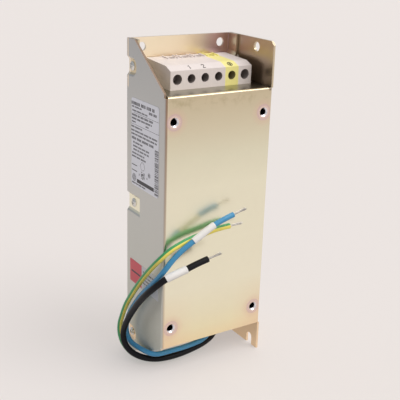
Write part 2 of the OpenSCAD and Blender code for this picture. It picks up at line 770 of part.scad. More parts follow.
// Two windings on each core. Every turn is a rounded loop around the ring,
// and a short crossover on the outside leads to the next.
module choke_windings() color("orangered") at_chokes() for (side = [0, 180]) {
    inner = core_bore / 2 - turn_gap - wire_d;
    outer = core_d / 2 + turn_gap + wire_d / 2;
    step = 2 * asin(0.52 * wire_d / inner);
    fitted = min(turns, floor(150 / step));     // as many turns as fit
    for (k = [0:fitted - 1])
        rotate(side + (k - (fitted - 1) / 2) * step) turn_loop();
    for (k = [1:fitted - 1])
        rotate(side + (k - fitted / 2) * step)
            translate([outer * cos(step / 2), 0, core_h / 4])
                cube([0.8 * wire_d, 2 * outer * sin(step / 2), 0.8 * wire_d],
                     center = true);
}
module turn_loop() {
    ring_w = (core_d - core_bore) / 2 + 2 * turn_gap;
    ring_h = core_h + 2 * turn_gap;
    translate([(core_d + core_bore) / 4, wire_d / 2, core_h / 2])
        rotate([90, 0, 0]) linear_extrude(wire_d) difference() {
            round_rect(ring_w + 2 * wire_d, ring_h + 2 * wire_d, wire_d);
            square([ring_w, ring_h], center = true);
        }
}

// Box capacitors across the line, above and below the chokes
module line_capacitors() color("goldenrod")
    for (z = [xcap_low_z, xcap_high_z])
        translate([0, y_board - xcap_len, z]) along_y(xcap_len)
            round_rect(xcap_w, xcap_t, 1);

// Disc capacitors from the lines to earth, beside the chokes
module earth_capacitors() color("steelblue") for (x = [-1, 1])
    translate([x * (feed_x - feed_d / 2 - ycap_gap - ycap_t / 2),
               y_board - ycap_d / 2 - 2, choke_z])
        rotate([0, 90, 0]) {
            translate([0, 0, -ycap_t / 2]) cylinder(h = ycap_t, d = ycap_d);
            for (z = [-2.5, 2.5]) translate([z, 0, 0]) rotate([-90, 0, 0])
                cylinder(h = ycap_d / 2 + 2, d = 0.8);
        }

// Bleed resistor that stands off the board on its two wires
module bleed_resistor() color("sandybrown")
    translate([-choke_r - 7, y_board - resistor_d / 2 - 2,
               choke_z + choke_step / 2 + choke_r]) {
        translate([0, 0, -resistor_len / 2])
            cylinder(h = resistor_len, d = resistor_d);
        for (z = [-1, 1]) {
            reach = resistor_len / 2 + 2;
            translate([0, 0, z > 0 ? 0 : -reach]) cylinder(h = reach, d = 0.8);
            translate([0, 0, z * (reach - 0.4)]) rotate([-90, 0, 0])
                cylinder(h = resistor_d / 2 + 2, d = 0.8);
        }
    }

// ---- Earth point ----

module at_stud(y) translate([stud_x, y, stud_z]) rotate([90, 0, 0]) children();

module earth_stud() color("silver") at_stud(y_back)
    cylinder(h = sheet_t + stud_len, d = stud_d);

module earth_nut() color("silver") at_stud(y_plate - 2 * lug_t) difference() {
    cylinder(h = nut_t, d = 7 / cos(30), $fn = 6);
    translate([0, 0, -over]) cylinder(h = nut_t + 2 * over, d = stud_d);
}

// Ring lugs of the incoming and the outgoing earth lead, one on the other
module earth_lugs() color("silver") {
    at_stud(y_plate) lug(LUG_ANGLES[0]);
    at_stud(y_plate - lug_t) lug(LUG_ANGLES[1]);
}
module lug(angle) difference() {
    union() {
        cylinder(h = lug_t, d = stud_d + 4.4);
        rotate(angle) translate([0, -1.6, 0]) cube([lug_reach, 3.2, lug_t]);
        rotate(angle) translate([lug_reach, 0, lug_barrel_z]) rotate([0, 90, 0])
            cylinder(h = lug_barrel, r = lug_barrel_z);
    }
    translate([0, 0, -over]) cylinder(h = lug_t + 2 * over, d = stud_d + 0.2);
}
LUG_ANGLES = [0, 180];
lug_reach = 6.5;
lug_barrel = 5;
lug_barrel_z = 2.3;

// ---- Wires ----

// Eight-sided tube swept along a route
function unit(v) = v / norm(v);
function heading(p, i) =
    unit(p[min(i + 1, len(p) - 1)] - p[max(i - 1, 0)]);
function first_normal(d) =
    unit(cross(d, abs(d[0]) < 0.7 ? [1, 0, 0] : [0, 1, 0]));
function next_normal(n, d) = unit(n - (n * d) * d);
function normals(p, i = 0, done = []) =
    i == len(p) ? done
    : normals(p, i + 1, concat(done, [i == 0 ? first_normal(heading(p, 0))
                                      : next_normal(done[i - 1], heading(p, i))]));
module tube(p, d) {
    sides = 8;
    side_n = normals(p);
    last = len(p) - 1;
    points = [for (i = [0:last], k = [0:sides - 1])
        p[i] + d / 2 * (cos(360 * k / sides) * side_n[i]
             + sin(360 * k / sides) * cross(heading(p, i), side_n[i]))];
    walls = [for (i = [0:last - 1], k = [0:sides - 1], half = [0, 1])
        let (a = i * sides + k, b = i * sides + (k + 1) % sides)
            half == 0 ? [a, b + sides, b] : [a, a + sides, b + sides]];
    polyhedron(concat(points, []), concat(walls,
        [[for (k = [0:sides - 1]) k]],
        [[for (k = [sides - 1:-1:0]) last * sides + k]]));
}

// Places its children at point a with +Z towards point b
module aim(a, b) {
    v = b - a;
    translate(a) rotate([0, acos(v[2] / norm(v)), atan2(v[1], v[0])])
        children();
}

tab_z = shelf_z - bar_drop + 3;         // where the feeds meet the bars
tab_x = [for (i = CLAMPED) block_left + (i + 0.5) * pitch];
feed_z = board_z + board_h - board_hole_in;     // upper solder pads
tail_z = board_z + 5;                   // lower solder pads
barrel_y = y_plate - lug_barrel_z;      // axis of the first lug's barrel
barrel_end = lug_reach + lug_barrel;
feed_d = 3;             // incoming wires
feed_x = x_wall - 9;    // run of the incoming earth beside the chokes
bow = 4;                // reach of a wire's bend
y_run = y_board - 2 * bow;

module line_feed() color("black") tube([
    [tab_x[0], bar_y, tab_z], [tab_x[0], bar_y - bow, tab_z],
    [tab_x[0] - bow / 4, bar_y - 2 * bow, tab_z - bow],
    [bow / 2 - pad_x, bar_y - 2 * bow, tab_z - 3 * bow],
    [-pad_x, y_run, feed_z + bow / 2], [-pad_x, y_board - bow, feed_z],
    [-pad_x, y_board, feed_z]], feed_d);
module neutral_feed() color("royalblue") tube([
    [tab_x[1], bar_y, tab_z], [tab_x[1], bar_y - bow, tab_z],
    [tab_x[1] + bow, bar_y - 2 * bow, tab_z - bow],
    [pad_x / 2, bar_y - 2 * bow, tab_z - 2 * bow],
    [pad_x - bow / 2, y_run, feed_z + bow], [pad_x, y_board - bow, feed_z],
    [pad_x, y_board, feed_z]], feed_d);
// The incoming earth runs down beside the chokes to the earth point
module earth_feed() color("yellowgreen") tube([
    [tab_x[3], bar_y, tab_z], [tab_x[3], bar_y - bow, tab_z],
    [tab_x[3] + bow / 2, bar_y - 2 * bow, tab_z - bow],
    [feed_x - bow, bar_y - 2 * bow, tab_z - 3 * bow],
    [feed_x, y_run, feed_z - bow], [feed_x, y_run, board_mid_z + board_h / 5],
    [feed_x, y_run, board_mid_z], [feed_x, y_run, board_mid_z - board_h / 5],
    [feed_x, y_run, board_z + 3 * bow],
    [feed_x, y_board - 1.5 * bow, board_z + bow],
    [feed_x + bow / 2, y_board - bow / 2, stud_z + bow],
    [feed_x + 0.75 * bow, barrel_y - bow, stud_z],
    [stud_x + barrel_end + bow / 2, barrel_y, stud_z],
    [stud_x + barrel_end, barrel_y, stud_z]], feed_d);
module black_tail() color("black") tube([
    [LEAD_X[2], bushing_y, bushing_seam],
    [LEAD_X[2], bushing_y, bushing_seam + 1.5 * bow],
    [pad_x + 0.75 * bow, bushing_y + bow, tail_z - bow],
    [pad_x + bow, y_board - bow, tail_z],
    [pad_x + bow, y_board, tail_z]], black_d - 0.6);
module blue_tail() color("royalblue") tube([
    [LEAD_X[1], bushing_y, bushing_seam],
    [LEAD_X[1], bushing_y, bushing_seam + 1.5 * bow],
    [pad_x - bow / 2, bushing_y + bow, tail_z - bow],
    [pad_x - bow / 2, y_board - bow, tail_z],
    [pad_x - bow / 2, y_board, tail_z]], blue_d - 0.2);
module earth_tail() color("yellowgreen") tube([
    [LEAD_X[0], bushing_y, bushing_seam],
    [LEAD_X[0], bushing_y, bushing_seam + bow],
    [stud_x - barrel_end - bow / 2, bushing_y + bow, stud_z + bow / 4],
    [stud_x - barrel_end - bow, y_board - bow, stud_z + bow / 4],
    [stud_x - barrel_end - bow, barrel_y - lug_t - bow, stud_z],
    [stud_x - barrel_end - bow / 2, barrel_y - lug_t, stud_z],
    [stud_x - barrel_end, barrel_y - lug_t, stud_z]], earth_d - 0.2);

module lead_black() color("black") tube(BLACK_ROUTE, black_d);
module lead_blue() color("royalblue") tube(BLUE_ROUTE, blue_d);
module lead_earth() color("yellowgreen") tube(EARTH_ROUTE, earth_d);

// Printed sleeves shrunk onto two of the leads
module sleeve(route, i, d) aim(route[i], route[i + 1]) difference() {
    cylinder(h = norm(route[i + 1] - route[i]), d = d + 2 * sleeve_t);
    translate([0, 0, -over])
        cylinder(h = norm(route[i + 1] - route[i]) + 2 * over, d = d + 0.1);
}
module black_marker() color("white") sleeve(BLACK_ROUTE, BLACK_SLEEVE, black_d);
module blue_marker() color("white") sleeve(BLUE_ROUTE, BLUE_SLEEVE, blue_d);

// Bared and tinned ends of the leads
module strands(route) {
    end = route[len(route) - 1];
    aim(end, end + (end - route[len(route) - 2]))
        cylinder(h = strand_len, d = strand_d);
}
module black_strands() color("silver") strands(BLACK_ROUTE);
module blue_strands() color("silver") strands(BLUE_ROUTE);
module earth_strands() color("silver") strands(EARTH_ROUTE);

// ---- Labels on the left wall ----

module wall_label(w, h, z, y, r)
    translate([-x_wall - label_t, y, z]) rotate([90, 0, 90])
        linear_extrude(label_t) round_rect(w, h, r);
module rating_label() color("lightsteelblue")
    wall_label(label_w, label_h, shelf_z - label_down, 0.5, 2);
module lower_label() color("crimson")
    wall_label(tag_w, tag_h, tag_z, 0.5, 0.5);

back_plate();
front_cover();
cover_left_wall();
drive_inserts();
side_screws();
terminal_end_left();
terminal_line();
terminal_neutral();
terminal_spare();
terminal_earth();
terminal_end_right();
clamp_cages();
clamp_screws();
contact_bars();
block_screws();
lead_bushing();
circuit_board();
board_standoffs();
board_screws();
choke_cores();
choke_dividers();
choke_windings();
line_capacitors();
earth_capacitors();
bleed_resistor();
earth_stud();
earth_nut();
earth_lugs();
line_feed();
neutral_feed();
earth_feed();
black_tail();
blue_tail();
earth_tail();
rating_label();
lower_label();
lead_black();
lead_blue();
lead_earth();
black_marker();
blue_marker();
black_strands();
blue_strands();
earth_strands();
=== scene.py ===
import math
from random import Random

import bpy
from mathutils import Matrix, Vector


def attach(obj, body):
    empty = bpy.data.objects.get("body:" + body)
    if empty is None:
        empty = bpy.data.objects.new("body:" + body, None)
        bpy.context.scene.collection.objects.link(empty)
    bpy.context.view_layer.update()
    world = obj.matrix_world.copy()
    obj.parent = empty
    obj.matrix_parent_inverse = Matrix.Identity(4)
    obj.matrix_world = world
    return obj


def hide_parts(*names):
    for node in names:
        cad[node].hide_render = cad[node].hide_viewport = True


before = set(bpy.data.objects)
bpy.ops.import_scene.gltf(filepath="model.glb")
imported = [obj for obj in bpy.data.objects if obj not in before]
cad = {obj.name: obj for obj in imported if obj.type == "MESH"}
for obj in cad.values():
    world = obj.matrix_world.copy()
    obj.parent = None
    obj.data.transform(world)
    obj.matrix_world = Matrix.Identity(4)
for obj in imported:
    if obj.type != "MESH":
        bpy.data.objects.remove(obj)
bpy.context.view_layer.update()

scene = bpy.context.scene


# ---- Camera ----
# A medium long lens, level with the top of the housing and to its left, so
# that the front and the left wall both show.
eye = Vector((-0.2667, -0.4170, 0.2867))
heading, dip, lean = 0.567, 0.331, 0.029
ahead = Vector((math.sin(heading) * math.cos(dip),
                math.cos(heading) * math.cos(dip), -math.sin(dip)))
across = Vector((math.cos(heading), -math.sin(heading), 0))
upward = across.cross(ahead)
across, upward = (math.cos(lean) * across + math.sin(lean) * upward,
                  math.cos(lean) * upward - math.sin(lean) * across)
lens = bpy.data.cameras.new("camera")
lens.sensor_width = 36
lens.lens = 69.5943
lens.shift_x, lens.shift_y = 0.011245, -0.015635
lens.clip_start = 0.01
camera = bpy.data.objects.new("camera", lens)
scene.collection.objects.link(camera)
camera.matrix_world = Matrix.Translation(eye) @ Matrix((across, upward, -ahead)).transposed().to_4x4()
scene.camera = camera
scene.view_settings.view_transform = "Standard"


# ---- The three leads ----
# Stranded copper in PVC insulation, black, blue and earth. They come down out
# of the bushing, lie round the left foot and rise in front of the housing,
# where their ends are cut and bared.
MM = 0.001


def add(tree, kind, inputs=None, **settings):
    """A node with its settings and its inputs, which are values or other nodes' outputs."""
    made = tree.nodes.new(kind)
    for name, value in settings.items():
        setattr(made, name, value)
    for key, value in (inputs or {}).items():
        if isinstance(value, bpy.types.NodeSocket):
            tree.links.new(value, made.inputs[key])
        else:
            made.inputs[key].default_value = value
    return made


def maths(tree, operation, *values):
    return add(tree, "ShaderNodeMath", dict(enumerate(values)), operation=operation).outputs[0]


def product(tree, *values):
    result = values[0]
    for value in values[1:]:
        result = maths(tree, "MULTIPLY", result, value)
    return result


def slide(tree, value, start, end, low=0.0, high=1.0):
    """Goes from low to high while the value goes from start to end."""
    return add(tree, "ShaderNodeMapRange", {
        "Value": value, "From Min": start, "From Max": end, "To Min": low, "To Max": high}).outputs[0]


def mixed(tree, share, a, b):
    colours = [(*c, 1) if isinstance(c, tuple) else c for c in (a, b)]
    return add(tree, "ShaderNodeMix", {"Factor": share, "A": colours[0], "B": colours[1]},
               data_type="RGBA").outputs["Result"]


def noise(tree, place, scale, detail, **inputs):
    return add(tree, "ShaderNodeTexNoise",
               {"Vector": place, "Scale": scale, "Detail": detail, **inputs}).outputs[0]


def group(kind, name, takes, gives):
    """A node group with its named inputs and outputs."""
    tree = bpy.data.node_groups.new(name, kind)
    for label, sort, value in takes:
        socket = tree.interface.new_socket(label, in_out="INPUT", socket_type=sort)
        if value is not None:
            socket.default_value = value
    for label, sort in gives:
        tree.interface.new_socket(label, in_out="OUTPUT", socket_type=sort)
    return tree, add(tree, "NodeGroupInput").outputs, add(tree, "NodeGroupOutput").inputs


def cable_tree():
    """Sweeps a round section along a line. 'side' tells how far each point faces along 'top'."""
    tree, given, result = group("GeometryNodeTree", "cable", [
        ("Line", "NodeSocketGeometry", None), ("Diameter", "NodeSocketFloat", 0.004),
        ("Sides", "NodeSocketInt", 20), ("Finish", "NodeSocketMaterial", None)],
        [("Cable", "NodeSocketGeometry")])
    curve = add(tree, "GeometryNodeMeshToCurve", {"Mesh": given["Line"]})
    girth = add(tree, "GeometryNodeInputNamedAttribute", {"Name": "girth"}, data_type="FLOAT")
    thick = add(tree, "GeometryNodeSetCurveRadius", {"Curve": curve.outputs[0], "Radius": girth.outputs[0]})
    run = add(tree, "GeometryNodeSplineParameter")
    marked = add(tree, "GeometryNodeStoreNamedAttribute",
                 {"Geometry": thick.outputs[0], "Name": "along", "Value": run.outputs["Length"]},
                 data_type="FLOAT", domain="POINT")
    half = maths(tree, "MULTIPLY", given["Diameter"], 0.5)
    section = add(tree, "GeometryNodeCurvePrimitiveCircle", {"Resolution": given["Sides"], "Radius": half})
    swept = add(tree, "GeometryNodeCurveToMesh", {
        "Curve": marked.outputs[0], "Profile Curve": section.outputs[0], "Fill Caps": True})
    top = add(tree, "GeometryNodeInputNamedAttribute", {"Name": "top"}, data_type="FLOAT_VECTOR")
    facing = add(tree, "ShaderNodeVectorMath",
                 {0: add(tree, "GeometryNodeInputNormal").outputs[0], 1: top.outputs[0]},
                 operation="DOT_PRODUCT")
    sided = add(tree, "GeometryNodeStoreNamedAttribute",
                {"Geometry": swept.outputs[0], "Name": "side", "Value": facing.outputs["Value"]},
                data_type="FLOAT", domain="POINT")
    smooth = add(tree, "GeometryNodeSetShadeSmooth", {"Geometry": sided.outputs[0]})
    loose = add(tree, "GeometryNodeRealizeInstances", {"Geometry": smooth.outputs[0]})
    coated = add(tree, "GeometryNodeSetMaterial",
                 {"Geometry": loose.outputs[0], "Material": given["Finish"]})
    tree.links.new(coated.outputs[0], result[0])
    return tree


cable = cable_tree()


def swept_cable(name, lines, diameter, sides, finish, tops=None, girths=None):
    """The plain mesh that the cable tree makes of open lines. The diameter is in millimetres."""
    verts, edges = [], []
    for line in lines:
        first = len(verts)
        verts += line
        edges += [(first + i, first + i + 1) for i in range(len(line) - 1)]
    mesh = bpy.data.meshes.new(name + "_line")
    mesh.from_pydata(verts, edges, [])
    mesh.attributes.new("top", "FLOAT_VECTOR", "POINT")
    mesh.attributes.new("girth", "FLOAT", "POINT")
    for i in range(len(verts)):
        mesh.attributes["top"].data[i].vector = tops[i] if tops else (0, 0, 1)
        mesh.attributes["girth"].data[i].value = girths[i] if girths else 1.0
    start = bpy.data.objects.new(name + "_start", mesh)
    scene.collection.objects.link(start)
    live = start.modifiers.new("nodes", "NODES")
    live.node_group = cable
    values = {"Diameter": diameter * MM, "Sides": sides, "Finish": finish}
    for item in cable.interface.items_tree:
        if item.in_out == "INPUT" and item.name in values:
            live[item.identifier] = values[item.name]
    made = bpy.data.meshes.new_from_object(start.evaluated_get(bpy.context.evaluated_depsgraph_get()))
    bpy.data.objects.remove(start)
    made.name = name
    piece = bpy.data.objects.new(name, made)
    scene.collection.objects.link(piece)
    return piece


def smooth_line(points, step=1.2 * MM):
    """Points a step apart on a smooth curve through the given ones."""
    p = [Vector(q) for q in points]
    p = [2 * p[0] - p[1]] + p + [2 * p[-1] - p[-2]]
    line = []
    for a, b, c, d in zip(p, p[1:], p[2:], p[3:]):
        t0, t1 = 0.0, (b - a).length ** 0.5
        t2 = t1 + (c - b).length ** 0.5
        t3 = t2 + (d - c).length ** 0.5
        parts = max(2, round((c - b).length / step))
        for k in range(parts):
            t = t1 + (t2 - t1) * k / parts
            ab = a * ((t1 - t) / (t1 - t0)) + b * ((t - t0) / (t1 - t0))
            bc = b * ((t2 - t) / (t2 - t1)) + c * ((t - t1) / (t2 - t1))
            cd = c * ((t3 - t) / (t3 - t2)) + d * ((t - t2) / (t3 - t2))
            abc = ab * ((t2 - t) / (t2 - t0)) + bc * ((t - t0) / (t2 - t0))
            bcd = bc * ((t3 - t) / (t3 - t1)) + cd * ((t - t1) / (t3 - t1))
            line.append(abc * ((t2 - t) / (t2 - t1)) + bcd * ((t - t1) / (t2 - t1)))
    return line + [p[-2]]


def unevenness_group():
    """Fine and broad unevenness of a surface: a varied colour, roughness and height."""
    tree, given, result = group("ShaderNodeTree", "surface unevenness", [
        ("Place", "NodeSocketVector", None), ("Colour", "NodeSocketColor", (0.5, 0.5, 0.5, 1)),
        ("Shade", "NodeSocketFloat", 0.1), ("Roughness", "NodeSocketFloat", 0.4),
        ("Spread", "NodeSocketFloat", 0.1), ("Grain", "NodeSocketFloat", 2000.0),
        ("Patch", "NodeSocketFloat", 60.0)],
        [("Colour", "NodeSocketColor"), ("Roughness", "NodeSocketFloat"), ("Height", "NodeSocketFloat")])
    fine = noise(tree, given["Place"], given["Grain"], 3.0)
    broad = noise(tree, given["Place"], given["Patch"], 4.0)
    blend = maths(tree, "ADD", product(tree, fine, 0.4), product(tree, broad, 0.6))
    centred = maths(tree, "SUBTRACT", blend, 0.5)
    gain = maths(tree, "MULTIPLY_ADD", centred, product(tree, given["Shade"], 2.0), 1.0)
    tinted = add(tree, "ShaderNodeVectorMath", {0: given["Colour"], "Scale": gain}, operation="SCALE")
    rough = maths(tree, "MULTIPLY_ADD", centred, product(tree, given["Spread"], 2.0), given["Roughness"])
    for label, output in (("Colour", tinted.outputs[0]), ("Roughness", rough), ("Height", fine)):
        tree.links.new(output, result[label])
    return tree


unevenness = unevenness_group()


def new_finish(name, **sockets):
    """A material, its shader and the object's own coordinates. The sockets are the same all over."""
    finish = bpy.data.materials.new(name)
    finish.use_nodes = True
    tree = finish.node_tree
    shader = tree.nodes["Principled BSDF"]
    for key, value in sockets.items():
        shader.inputs[key.replace("_", " ")].default_value = value
    return finish, tree, shader, add(tree, "ShaderNodeTexCoord").outputs["Object"]


def cover_with(tree, shader, place, colour, shade, roughness, spread, grain, patch, depth, strength):
    """Feeds the shader from the unevenness group, with a bump of the given depth."""
    uneven = add(tree, "ShaderNodeGroup", node_tree=unevenness)
    for key, value in (("Place", place), ("Colour", (*colour, 1) if isinstance(colour, tuple) else colour),
                       ("Shade", shade), ("Roughness", roughness), ("Spread", spread), ("Grain", grain),
                       ("Patch", patch)):
        if isinstance(value, bpy.types.NodeSocket):
            tree.links.new(value, uneven.inputs[key])
        else:
            uneven.inputs[key].default_value = value
    bump = add(tree, "ShaderNodeBump",
               {"Height": uneven.outputs["Height"], "Strength": strength, "Distance": depth})
    for socket, output in (("Base Color", uneven.outputs["Colour"]),
                           ("Roughness", uneven.outputs["Roughness"]), ("Normal", bump.outputs[0])):
        tree.links.new(output, shader.inputs[socket])


def soft_plastic(name, colour, shade=0.08, roughness=0.34, shine=0.5):
    finish, tree, shader, place = new_finish(name, Specular_IOR_Level=shine)
    cover_with(tree, shader, place, colour, shade, roughness, 0.1, 900.0, 90.0, 0.00003, 0.3)
    return finish


def earth_insulation():
    """Green, with a yellow stripe that covers nearly half of the way round."""
    finish, tree, shader, place = new_finish("green_and_yellow_pvc")
    side = add(tree, "ShaderNodeAttribute", attribute_name="side").outputs["Fac"]
    wobble = noise(tree, place, 300.0, 2.0)
    stripe = slide(tree, maths(tree, "ADD", side, product(tree, wobble, 0.06)), -0.02, 0.08)
    colour = mixed(tree, stripe, (0.98, 0.84, 0.16), (0.055, 0.36, 0.13))
    cover_with(tree, shader, place, colour, 0.08, 0.36, 0.1, 900.0, 90.0, 0.00003, 0.3)
    return finish


black_pvc = soft_plastic("black_pvc", (0.010, 0.010, 0.013), 0.3, 0.38, 0.14)
blue_pvc = soft_plastic("blue_pvc", (0.055, 0.30, 0.56))

# Diameter in millimetres, finish, length in metres, and the middle line's points in millimetres
LEADS = {
    "black": (4.2, black_pvc, 0.205, [
        (20, -2, 20.75), (20, -2, 17), (18, -3.3, 12), (12.5, -5.8, 7.9), (4, -9, 6.3),
        (-7.5, -11.4, 5.6), (-19, -12.6, 5.2), (-29, -12.3, 5.2), (-37, -10.2, 5.4),
        (-43.5, -5.8, 6.1), (-48, 1, 7.5), (-50.3, 7.3, 11), (-51, 9.8, 16.5),
        (-51.2, 8.8, 22.5), (-51.2, 3.7, 32), (-51, -4.2, 43), (-51, -14.4, 54.8),
        (-50, -24, 64.8), (-47, -30.5, 72), (-42.5, -33.5, 76.5), (-28.5, -35, 81),
        (-21, -35.5, 83.3), (-13.2, -36, 85.3)]),
    "blue": (3.6, blue_pvc, 0.237, [
        (14, -2, 20.75), (14, -2, 18), (12.8, -4, 14), (9, -7, 11.8), (2, -10.5, 10.4),
        (-6, -12.5, 10.3), (-16, -14.3, 10.8), (-26, -15.4, 11.6), (-34, -15.7, 12),
        (-38, -15.2, 12), (-40.8, -12.8, 11.9), (-42.4, -8.5, 11.6), (-43, -2.5, 10.7),
        (-43.6, 4, 9.9), (-44.6, 10, 10.4), (-45.3, 14, 13.2), (-45.6, 15.8, 18),
        (-45.6, 15.2, 24), (-45.6, 12, 31.2), (-45.6, 6, 39.8), (-45.6, -4.5, 52.5),
        (-45.4, -15.5, 63.5), (-44.5, -25, 73), (-41.5, -30.5, 81.7), (-37, -32, 88),
        (-31, -33.2, 93.7), (-23.5, -34.4, 99), (-8.5, -34.9, 107.5), (-1, -35, 110.2),
        (6, -35, 112.2)]),
    "earth": (3.7, earth_insulation(), 0.2335, [
        (8, -2, 20.75), (8, -2, 16), (7.3, -2.3, 11), (4.5, -3.5, 6), (-1, -5.3, 3.2),
        (-8, -6.7, 2.3), (-16, -7.5, 2.1), (-24, -7.5, 2.1), (-31, -6.1, 2.1),
        (-37.5, -3, 2.2), (-42, 1.8, 2.3), (-45, 7.5, 3), (-46.8, 13, 5.2),
        (-48, 17.6, 9.2), (-48.4, 20, 14.5), (-48.5, 19.8, 21), (-48.5, 16, 30),
        (-48.5, 10.5, 40.3), (-48, 1.5, 53.2), (-47, -8.5, 66.2), (-45.5, -19, 78.7),
        (-43, -27, 88), (-37.5, -29.6, 93.6), (-30.5, -30, 96.6), (-23.5, -29.9, 98.6),
        (-13.5, -29.9, 100.5), (-3.5, -30.2, 102.2), (6.5, -30.5, 102.8)]),
}
stripe_faces = Vector((-0.47, -0.74, 0.48))  # the earth lead turns both its colours this way
leads = {}
for colour, (diameter, finish, length, route) in LEADS.items():
    route = [MM * Vector(q) for q in route]
    line = smooth_line(route)
    tops = []
    for i in range(len(line)):
        way = (line[min(i + 1, len(line) - 1)] - line[max(i - 1, 0)]).normalized()
        tops.append(stripe_faces.cross(way).normalized())
    leads[colour] = swept_cable("lead_in_" + colour, [line], diameter, 24, finish, tops), route, line


# ---- Marker sleeves ----
# Short white sleeves of printed plastic, pushed over the black and the blue
# lead and shrunk on, so their ends grip the insulation and draw in a little.
def sleeve_plastic():
    finish, tree, shader, place = new_finish("white_sleeve_plastic")
    cover_with(tree, shader, place, (0.86, 0.85, 0.84), 0.05, 0.5, 0.1, 700.0, 150.0, 0.00005, 0.5)
    return finish


white_sleeve = sleeve_plastic()
sleeve_wall = 0.5
sleeves = {}
for colour in ("black", "blue"):
    route = leads[colour][1]
    line = smooth_line(route, 0.6 * MM)
    # From the fourth point before the lead's end to the third
    first, last = (min(range(len(line)), key=lambda i: (line[i] - stop).length) for stop in route[-4:-2])
    run = line[first:last + 1]
    # Ends drawn in, and faint waves where the plastic shrank unevenly
    waves = Random(11)
    girths = [1 - 0.10 * max(0, 1 - min(i, len(run) - 1 - i) / 1.5) + waves.uniform(-0.008, 0.008)
              for i in range(len(run))]
    sleeves[colour] = swept_cable("sleeve_on_" + colour, [run], LEADS[colour][0] + 2 * sleeve_wall, 28,
                                  white_sleeve, None, girths)


# ---- Bared ends ----
# Nineteen tinned copper strands come out of each lead's insulation, twisted
# once, and a few of them stand off at the tip.
def tinned_strand():
    finish, tree, shader, place = new_finish("tinned_copper_strand", Metallic=1.0)
    cover_with(tree, shader, place, (0.50, 0.48, 0.46), 0.35, 0.35, 0.15, 1500.0, 400.0, 0.00002, 0.3)
    return finish


tinned = tinned_strand()
strand_thick, bared_length, hidden_length, turn = 0.30, 11, 0.6, 2.6
bared = {}
for number, (colour, (piece, route, line)) in enumerate(leads.items()):
    end = route[-1]
    way = (end - route[-2]).normalized()
    beside = way.cross(Vector((0, 0, 1))).normalized()
    above = beside.cross(way)
    twist = Random(20 + number)
    strands = []
    for ring, count in ((0.0, 1), (0.33, 6), (0.64, 12)):
        for k in range(count):
            stray = twist.uniform(0, 0.35) if ring > 0.5 else 0
            lift = twist.uniform(-0.5, 0.5)
            reach = bared_length - twist.uniform(0, 1.6)
            strand = []
            for t in (i / 12 for i in range(13)):
                turned = 2 * math.pi * k / count + turn * t
                radius = ring * (1 - 0.12 * math.sin(math.pi * t)) + stray * t ** 3
                strand.append(end + MM * (way * (reach * t - hidden_length)
                              + beside * (radius * math.cos(turned) + 0.25 * lift * stray * t * t)
                              + above * (radius * math.sin(turned) - 0.15 * t * t)))
            strands.append(strand)
    bared[colour] = swept_cable("strands_of_" + colour, strands, strand_thick, 6, tinned)

for colour, (piece, route, line) in leads.items():
    diameter, finish, length, points = LEADS[colour]
    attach(piece, "root")
    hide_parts("lead_" + colour)
    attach(bared[colour], "root")
    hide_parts(colour + "_strands")
    if colour in sleeves:
        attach(sleeves[colour], "root")
        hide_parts(colour + "_marker")


# ---- Folded cover and back plate ----
# Mild steel sheet, 1.5 mm thick, pierced, pressed and folded, then zinc
# plated and passivated yellow. The film's colour drifts over the sheet, and
# gathers in rings round the pressed-in inserts.
# The sheet's colour also holds painted reflection and shade: grey on the left wall's outside, dark in the
# wiring bay, and darker towards the top of the front.
insert_x, insert_low, insert_high = 33.5, 35, 175
front_low, shelf_high, housing_high, half_wide = 20, 191, 220, 38


def edge_group():
    """How near a point lies to a sharp corner, from 0 to 1."""
    tree, given, result = group("ShaderNodeTree", "near a sharp edge",
                                [("Width", "NodeSocketFloat", 0.0004)], [("Edge", "NodeSocketFloat")])
    rounded = add(tree, "ShaderNodeBevel", {"Radius": given["Width"]}, samples=6)
    flat = add(tree, "ShaderNodeNewGeometry")
    alike = add(tree, "ShaderNodeVectorMath", {0: rounded.outputs[0], 1: flat.outputs["Normal"]},
                operation="DOT_PRODUCT")
    tree.links.new(slide(tree, alike.outputs["Value"], 0.995, 0.8), result[0])
    return tree


near_edge = edge_group()


def sharp_edge(tree, width):
    return add(tree, "ShaderNodeGroup", {"Width": width * MM}, node_tree=near_edge).outputs[0]


def axes(tree, place):
    return add(tree, "ShaderNodeSeparateXYZ", {0: place}).outputs


def between(tree, value, low, high, soft):
    """1 where the value lies between low and high, fading over soft."""
    up, down = (add(tree, "ShaderNodeMapRange", {"Value": value, "From Min": a, "From Max": b},
                    interpolation_type="SMOOTHSTEP").outputs[0]
                for a, b in ((low - soft, low + soft), (high + soft, high - soft)))
    return product(tree, up, down)


def zone(tree, axis, low, high, soft):
    """The same with the low and high edge and the softness in millimetres."""
    return between(tree, axis, low * MM, high * MM, soft * MM)


def ramp(tree, axis, low, high, stops):
    """Colours along an axis, at shares of the way from low to high in millimetres."""
    made = add(tree, "ShaderNodeValToRGB", {"Fac": slide(tree, axis, low * MM, high * MM)})
    marks = made.color_ramp.elements
    marks[0].position, marks[0].color = stops[0][0], (*stops[0][1], 1)
    marks[1].position, marks[1].color = stops[-1][0], (*stops[-1][1], 1)
    for share, colour in stops[1:-1]:
        marks.new(share).color = (*colour, 1)
    return made.outputs["Color"]


def from_insert(tree, x, z):
    """How far a point of the front lies from the axis of the nearest insert."""
    middle, reach = (insert_low + insert_high) / 2, (insert_high - insert_low) / 2
    dx = maths(tree, "SUBTRACT", maths(tree, "ABSOLUTE", x), insert_x * MM)
    dz = maths(tree, "SUBTRACT", maths(tree, "ABSOLUTE", maths(tree, "SUBTRACT", z, middle * MM)), reach * MM)
    return maths(tree, "SQRT", maths(tree, "ADD", product(tree, dx, dx), product(tree, dz, dz)))


